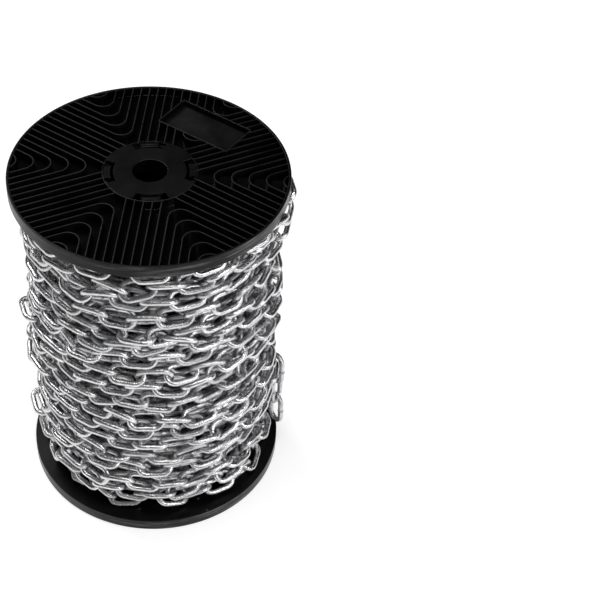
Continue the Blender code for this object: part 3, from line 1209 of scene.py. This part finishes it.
@dataclass
class Flange:
    """A moulded flange: smooth winding face, ribbed outer face, slotted hub, rim and label field.

    It is built with its winding face on z = 0 and its outer face up.
    """

    radius: float
    thickness: float
    rim: float = 0.0023
    web: float = 0.0032
    bore: float = 0.0142
    collar: float = 0.0025
    hub: float = 0.0389
    hub_wall: float = 0.0039
    hub_plate: float = 0.0030
    segments: int = 240
    edge_round: float = 0.0006
    # The side where the rim's scuffs and its painted highlight gather.
    sheen_side: float = math.radians(-50)
    slot_count: int = 4
    slot_inner: float = 0.0299
    slot_outer: float = 0.0380
    slot_span: float = math.radians(45)
    slot_flare: float = 0.0004
    slot_lip: float = 0.35
    rib_width: float = 0.0012
    rib_pitch: float = 0.0071
    rib_root: float = 0.7
    rib_foot: float = 1.15
    rib_crown: tuple = ((0.92, 0.0004, 0.3), (0.75, 0.0001, 1.0), (0.4, 0.0, 1.0))
    rib_setback: float = 0.0004
    rib_corner: float = 0.0097
    sectors: int = 6
    sector_start: float = math.radians(21.6)
    straight_ribs: int = 2
    bent_ribs: int = 7
    label: LabelField = field(default_factory=LabelField)

    def section(self) -> list[tuple[float, float, float]]:
        """List the turned section's corners.

        Returns:
            The corners as (radius, height, the radius that rounds it).
        """
        rim = self.radius - self.rim
        inside = self.hub - self.hub_wall
        plate = self.thickness - self.hub_plate
        collar = self.bore + self.collar
        fine = self.edge_round / 2
        return [
            (self.bore, self.thickness, self.edge_round),
            (self.hub, self.thickness, self.edge_round),
            (self.hub, self.web, fine),
            (rim, self.web, fine),
            (rim, self.thickness, self.edge_round),
            (self.radius, self.thickness, self.edge_round),
            (self.radius, 0, self.edge_round),
            (inside, 0, fine),
            (inside, plate, fine),
            (collar, plate, fine),
            (collar, 0, fine),
            (self.bore, 0, fine),
        ]

    def rounded_section(self, steps: int = 3) -> tuple[np.ndarray, np.ndarray]:
        """Round the section's corners.

        Args:
            steps: how many faces go round a corner.

        Returns:
            The points as (radius, height), and how rubbed each is: 1 on the outer edges and 0 elsewhere.
        """
        corners = self.section()
        points, rubs = [], []
        for place, (across, height, rounding) in enumerate(corners):
            corner = Vector((across, height))
            before = (Vector(corners[place - 1][:2]) - corner).normalized()
            after = (Vector(corners[(place + 1) % len(corners)][:2]) - corner).normalized()
            centre = corner + (before + after) * rounding
            for step in range(steps + 1):
                turn = math.pi / 2 * step / steps
                towards_after, towards_before = rounding * math.cos(turn), rounding * math.sin(turn)
                points.append(centre - after * towards_after - before * towards_before)
                rubs.append(1.0 if rounding == self.edge_round and 0 < step < steps else 0.0)
        return np.array(points), np.array(rubs)

    def body(self) -> Shell:
        """Turn the rounded section about Z.

        Returns:
            The shell, with the values of WEAR_AND_SHEEN.
        """
        profile, rubs = self.rounded_section()
        angles = np.arange(self.segments) * math.tau / self.segments
        points, quads = turned(profile, angles, closed=True)
        across, height = profile.T
        between = (across > self.hub - self.edge_round) & (across < self.radius - self.edge_round)
        web = np.where(between & (height > 0) & (height < self.web + self.edge_round), 1.0, 0.0)
        rim = np.where(across > self.radius - self.edge_round / 2, 1.0, 0.0)
        face = np.where(height < self.edge_round / 2, 1.0, 0.0)
        values = {"edge": rubs, "web": web, "rim": rim, "winding_face": face}
        values = {name: np.tile(value, self.segments) for name, value in values.items()}
        # Weight the rim mask towards one side: scuffs there, and a painted highlight where the rim would
        # catch the light.
        wear_and_sheen = (0.5 + 0.5 * np.cos(angles - self.sheen_side)) ** 2
        values["rim"] *= np.repeat(wear_and_sheen, len(profile))
        return Shell(points, quads, values)

    def slot_cutter(self, steps: int = 14) -> bpy.types.Object:
        """Build the cutter of the hub slots. It widens towards the face, to leave the slots' edges soft.

        Args:
            steps: how many faces go along a slot.

        Returns:
            The cutter.
        """
        shape = bmesh.new()
        top = self.thickness
        levels = (
            (top - self.hub_plate - self.slot_flare / 2, 0.0),
            (top - self.slot_flare, 0.0),
            (top - self.slot_flare / 4, self.slot_lip),
            (top + self.slot_flare / 4, 1.0),
            (top + self.hub_plate, 1.0),
        )
        for number in range(self.slot_count):
            middle = math.tau * number / self.slot_count
            rings = []
            for height, flare in levels:
                grow = flare * self.slot_flare
                half = self.slot_span / 2 + grow / self.slot_outer
                angles = [middle - half + 2 * half * step / steps for step in range(steps + 1)]
                outer = [polar(self.slot_outer + grow, angle, height) for angle in angles]
                inner = [polar(self.slot_inner - grow, angle, height) for angle in reversed(angles)]
                rings.append([shape.verts.new(point) for point in outer + inner])
            for near, far in zip(rings, rings[1:]):
                for k in range(len(near)):
                    shape.faces.new((near[k - 1], near[k], far[k], far[k - 1]))
            shape.faces.new(rings[0][::-1])
            shape.faces.new(rings[-1])
        bmesh.ops.recalc_face_normals(shape, faces=shape.faces)
        return mesh_object("slot_cutter", shape)

    def slotted(self, body: bpy.types.Object) -> None:
        """Cut the hub slots out of the turned body.

        Args:
            body: the body, whose mesh is replaced.
        """
        cutter = self.slot_cutter()
        cut = body.modifiers.new("slots", "BOOLEAN")
        cut.operation = "DIFFERENCE"
        cut.solver = "EXACT"
        cut.object = cutter
        graph = bpy.context.evaluated_depsgraph_get()
        mesh = bpy.data.meshes.new_from_object(body.evaluated_get(graph))
        body.modifiers.clear()
        body.data = mesh
        bpy.data.objects.remove(cutter, do_unlink=True)

    def rib_sweep(self) -> Sweep:
        """Give a rib's section, with drafted sides and a rounded crown.

        Returns:
            The section. Each point of the crown has a share of half the width, a drop and how rubbed it is.
        """
        top = self.thickness - self.rib_setback
        half = self.rib_width / 2
        right = [(half * self.rib_foot, self.web * self.rib_root)]
        right += [(half * share, top - drop) for share, drop, _ in self.rib_crown]
        points = right + [(-across, height) for across, height in reversed(right)]
        rubs = [0.0] + [rubbed for _, _, rubbed in self.rib_crown]
        return Sweep(np.array(points), np.array(rubs + rubs[::-1]))

    def straight_line(self, offset: float) -> list[Vector]:
        """Give the line of a straight rib beside +X.

        Args:
            offset: how far beside X it runs.

        Returns:
            The line's two points.
        """
        start = self.hub - self.hub_wall / 2
        reach = self.radius - self.rim / 2
        return [Vector((math.sqrt(radius ** 2 - offset ** 2), offset, 0)) for radius in (start, reach)]

    def bent_line(self, apex: float, steps: int = 7) -> list[Vector]:
        """Give the line of a bent rib: two arms that open outwards about +X from a round corner.

        Args:
            apex: where the arms would meet with no rounding, on X.
            steps: how many faces go round each half of the corner.

        Returns:
            The line's points.
        """
        half = math.pi / self.sectors
        reach = self.radius - self.rim / 2
        corner = self.rib_corner
        centre = apex + corner / math.sin(half)
        along = apex * math.cos(half)
        length = math.sqrt(along ** 2 + reach ** 2 - apex ** 2) - along
        has_arms = length > corner / math.tan(half)
        swing = math.pi / 2 - half
        if not has_arms:
            swing = math.acos((centre ** 2 + corner ** 2 - reach ** 2) / (2 * centre * corner))
        turns = [swing * step / steps for step in range(-steps, steps + 1)]
        line = [Vector((centre - corner * math.cos(turn), corner * math.sin(turn), 0)) for turn in turns]
        if has_arms:
            tip = Vector((apex + length * math.cos(half), length * math.sin(half), 0))
            line = [Vector((tip.x, -tip.y, 0))] + line + [tip]
        return line

    def rib_lines(self) -> list[list[Vector]]:
        """Give the line of every rib of the outer face.

        Returns:
            The lines, each in its place.
        """
        sector = math.tau / self.sectors
        lines = []
        for number in range(self.sectors):
            middle = self.sector_start + number * sector
            offsets = range(-self.straight_ribs, self.straight_ribs + 1)
            straight = [self.straight_line(offset * self.rib_pitch) for offset in offsets]
            places = range(self.straight_ribs + 1, self.bent_ribs + 1)
            bent = [self.bent_line(place * self.rib_pitch / math.sin(sector / 2)) for place in places]
            for angle, group in ((middle, straight), (middle + sector / 2, bent)):
                turn = Matrix.Rotation(angle, 3, "Z")
                lines += [[turn @ point for point in line] for line in group]
        return lines

    def label_parts(self, rib: Sweep) -> list[Shell]:
        """Build the label field: its frame, and its floor as a thin block.

        Args:
            rib: the section of the frame.

        Returns:
            The frame and the block.
        """
        outline = self.label.outline(inset=self.rib_width / 2)
        heights = (self.thickness - self.rib_setback - self.label.depth, self.web * self.rib_root)
        block = self.label.outline(inset=self.rib_width)
        middle = sum(block, Vector()) / len(block)
        count = len(block)
        points = [(point.x, point.y, height) for height in heights for point in block]
        points += [(middle.x, middle.y, height) for height in heights]
        sides = [(k, count + k, count + (k + 1) % count, (k + 1) % count) for k in range(count)]
        fans = [(k, k + 1, (k + 2) % count) for k in range(0, count, 2)]
        tops = [(*fan, 2 * count) for fan in fans]
        bottoms = [(*(count + k for k in reversed(fan)), 2 * count + 1) for fan in fans]
        # The floor takes part of the rubbed colour as a painted sheen, with a satin roughness.
        values = unworn(len(points)) | {"edge": np.full(len(points), self.label.satin_and_sheen)}
        slab = Shell(np.array(points), np.array(sides + tops + bottoms), values)
        return [rib.run(outline, closed=True), slab]

    def build(self, name: str) -> bpy.types.Object:
        """Build the flange.

        Args:
            name: the piece's name.

        Returns:
            The piece, with its winding face on z = 0.
        """
        piece = self.body().to_object(name)
        self.slotted(piece)
        rib = self.rib_sweep()
        parts = [rib.run(part) for line in self.rib_lines() for part in self.label.clipped(line)]
        relief = Shell.joined(parts + self.label_parts(rib)).to_object(name + "_relief")
        shape = bmesh.new()
        shape.from_mesh(piece.data)
        shape.from_mesh(relief.data)
        shape.to_mesh(piece.data)
        shape.free()
        bpy.data.objects.remove(relief, do_unlink=True)
        piece.data.shade_smooth()
        piece.data.set_sharp_from_angle(angle=SHARP_ANGLE)
        flat = piece.modifiers.new("flat_faces", "WEIGHTED_NORMAL")
        flat.keep_sharp = True
        return piece


def ring_shell(radii: tuple, heights: tuple, steps: int, span: float = math.tau, middle: float = 0) -> Shell:
    """Build a whole ring, or a stretch of one.

    Args:
        radii: its inner and its outer radius.
        heights: its lower and its upper height.
        steps: how many faces it has along the span.
        span: the angle that it covers.
        middle: the angle of its middle.

    Returns:
        The ring's shell.
    """
    whole = span >= math.tau
    angles = middle - span / 2 + span * np.arange(steps if whole else steps + 1) / steps
    low, high = heights
    corners = np.array([(radii[0], low), (radii[1], low), (radii[1], high), (radii[0], high)])
    points, quads = turned(corners, angles, whole)
    if not whole:
        last = len(points) - 4
        quads = np.concatenate([quads, [(3, 2, 1, 0), (last, last + 1, last + 2, last + 3)]])
    return Shell(points, quads, unworn(len(points)))


@dataclass
class Barrel:
    """The tube between the flanges, with snap hooks that reach through the hub slots at both ends."""

    height: float
    flange: Flange
    radius: float = 0.037
    wall: float = 0.004
    gap: float = 0.0003
    hook_inner: float = 0.0320
    hook_span: float = math.radians(28)
    hook_setback: float = 0.0008
    hook_root: float = 0.0100
    hook_segments: int = 10
    lip_share: float = 0.9
    edge_round: float = 0.0003
    segments: int = 96

    def hook_parts(self, middle: float) -> list[Shell]:
        """Build one hook of the upper end.

        Args:
            middle: the angle of its middle.

        Returns:
            The stem, and the lip that latches on the hub's ledge.
        """
        top = self.height - self.hook_setback
        stem_outer = self.flange.hub - self.flange.hub_wall - self.gap
        root = self.height - self.flange.thickness - self.hook_root
        lip_radii = (stem_outer - self.gap, self.flange.slot_outer - self.gap)
        lip_heights = (self.height - self.flange.hub_plate, top)
        stem_radii = (self.hook_inner, stem_outer)
        stem = ring_shell(stem_radii, (root, top), self.hook_segments, self.hook_span, middle)
        lip_span = self.hook_span * self.lip_share
        return [stem, ring_shell(lip_radii, lip_heights, self.hook_segments, lip_span, middle)]

    def build(self) -> bpy.types.Object:
        """Build the barrel with its hooks, edges rounded.

        Returns:
            The piece.
        """
        low = self.flange.thickness + self.gap
        tube = ring_shell((self.radius - self.wall, self.radius), (low, self.height - low), self.segments)
        count = self.flange.slot_count
        upper = Shell.joined([part for k in range(count) for part in self.hook_parts(math.tau * k / count)])
        lower = upper.moved(np.diag([1.0, -1.0, -1.0]), np.array([0, 0, self.height]))
        piece = Shell.joined([tube, upper, lower]).to_object("barrel_tube")
        rounding = piece.modifiers.new("rounding", "BEVEL")
        rounding.width = self.edge_round
        rounding.segments = 2
        rounding.limit_method = "ANGLE"
        piece.data.set_sharp_from_angle(angle=SHARP_ANGLE)
        return piece


@dataclass
class Studio:
    """Floor, lights and camera."""

    flange: float
    height: float
    distance: float = 5.612
    elevation: float = math.radians(44.90)
    look_right: float = math.radians(8.572)
    look_down: float = math.radians(44.539)
    spin: float = math.radians(4.419)
    lens: float = 84.31
    floor_size: float = 12.0
    floor_drop: float = 0.0003

    def add_camera(self) -> None:
        """Put the camera where the photograph was taken from, with the reel left of the middle."""
        data = bpy.data.cameras.new("camera")
        data.lens = self.lens
        data.clip_start = 0.05
        data.clip_end = 50
        camera = new_object("camera", data)
        away = self.distance * self.flange
        ahead = Vector((
            math.sin(self.look_right) * math.cos(self.look_down),
            math.cos(self.look_right) * math.cos(self.look_down),
            -math.sin(self.look_down),
        ))
        right = Vector((math.cos(self.look_right), -math.sin(self.look_right), 0))
        up = right.cross(ahead)
        turned_right = math.cos(self.spin) * right + math.sin(self.spin) * up
        turned_up = math.cos(self.spin) * up - math.sin(self.spin) * right
        height = self.height / 2 + math.sin(self.elevation) * away
        place = Vector((0, -math.cos(self.elevation) * away, height))
        axes = Matrix((turned_right, turned_up, -ahead)).transposed().to_4x4()
        camera.matrix_world = Matrix.Translation(place) @ axes
        bpy.context.scene.camera = camera

    def add_floor(self) -> None:
        """Lay the pale floor under the reel."""
        shape = bmesh.new()
        bmesh.ops.create_grid(shape, x_segments=1, y_segments=1, size=self.floor_size / 2)
        floor = mesh_object("floor", shape)
        floor.location.z = -self.floor_drop
        floor.data.materials.append(PaleFloor().material())

    def add_light(self, name: str, place: tuple, size: float, power: float, target: tuple = ()) -> None:
        """Add a soft square light.

        Args:
            name: the light's name.
            place: where it hangs.
            size: its side.
            power: its power in watts.
            target: what it faces, or nothing for the reel's middle.
        """
        data = bpy.data.lights.new(name, "AREA")
        data.shape = "SQUARE"
        data.size = size
        data.energy = power
        light = new_object(name, data)
        light.location = place
        aim = Vector(target or (0, 0, self.height / 2)) - Vector(place)
        light.rotation_euler = aim.to_track_quat("-Z", "Y").to_euler()

    def add_world(self, strength: float = 0.02) -> None:
        """Fill the room with even light.

        Args:
            strength: the light's strength.
        """
        world = bpy.data.worlds.new("studio")
        world.use_nodes = True
        background = world.node_tree.nodes["Background"]
        background.inputs["Color"].default_value = (1, 1, 1, 1)
        background.inputs["Strength"].default_value = strength
        bpy.context.scene.world = world

    def build(self) -> None:
        """Set up the whole studio."""
        self.add_camera()
        self.add_floor()
        self.add_world()
        self.add_light("key_behind_left", (-0.85, 1.08, 2.13), 0.9, 32)
        self.add_light("side_left", (-2.0, -0.9, 1.1), 0.5, 1)
        self.add_light("side_right", (1.7, -1.3, 1.0), 0.5, 12)
        self.add_light("floor_right", (0.75, -0.65, 1.0), 0.5, 4, (0.75, -0.65, 0.0))
        self.add_light("top", (0.0, -0.3, 2.6), 0.7, 24)
        self.add_light("front_panel", (0.0, -2.2, 2.4), 2.4, 7)
        bpy.context.scene.view_settings.view_transform = "Standard"


def dress(piece: bpy.types.Object, material: bpy.types.Material, nodes: tuple[str, ...]) -> None:
    """Give a piece its finish, and say what it stands for and rides on.

    Args:
        piece: the piece.
        material: its finish.
        nodes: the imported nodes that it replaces.
    """
    piece.data.materials.clear()
    piece.data.materials.append(material)
    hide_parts(*nodes)
    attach(piece, BODY)
    LOG.info("%s: %d faces", piece.name, len(piece.data.polygons))


def main() -> None:
    """Build the reel, its chain and the studio."""
    logging.basicConfig(level=logging.INFO, format="%(name)s: %(message)s")
    build_groups()
    top_low, top_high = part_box("upper_flange")
    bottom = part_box("lower_flange")[1].z
    plastic = BlackPlastic("moulded_plastic").material()
    zinc = ZincPlate("zinc_plate").material()
    # The second layer and the inner turns get darker, duller zinc: painted shade of the chain's inner layers.
    painted_shade_zinc = ZincPlate(
        "painted_shade_zinc_plate",
        bright=(0.60, 0.60, 0.61, 1.0),
        dull=(0.38, 0.38, 0.385, 1.0),
        burnt=(0.10, 0.10, 0.10, 1.0),
        roughness=(0.16, 0.36),
    ).material()

    flange = Flange(radius=top_high.x, thickness=top_high.z - top_low.z)
    upper = flange.build("upper_flange_moulding")
    upper.location.z = top_low.z
    dress(upper, plastic, ("upper_flange",))
    # Turned over, the lower flange has its painted rim highlight on the same side as the upper one's.
    lower = replace(flange, sheen_side=-flange.sheen_side).build("lower_flange_moulding")
    lower.rotation_euler.x = math.pi
    lower.location.z = bottom
    dress(lower, plastic, ("lower_flange",))

    barrel = Barrel(height=top_high.z, flange=flange).build()
    dress(barrel, plastic, ("barrel",))

    free_end = FreeEnd()
    hanging = free_end.links(LinkShape())
    for piece in WoundChain(low=bottom, high=top_low.z).build(hanging):
        hidden = ("outer_chain_layer",) if piece.name.startswith("outer") else ("chain_core",)
        # Pieces other than the outer turns take the zinc with painted shade.
        slot = Slot.ZINC if piece.name.startswith("outer") else Slot.INNER
        dress(piece, zinc if slot is Slot.ZINC else painted_shade_zinc, hidden)
    for node, piece in zip(free_end.nodes, free_end.build(hanging)):
        dress(piece, zinc, (node,))

    Studio(flange=2 * top_high.x, height=top_high.z).build()


if __name__ == "__main__":
    main()
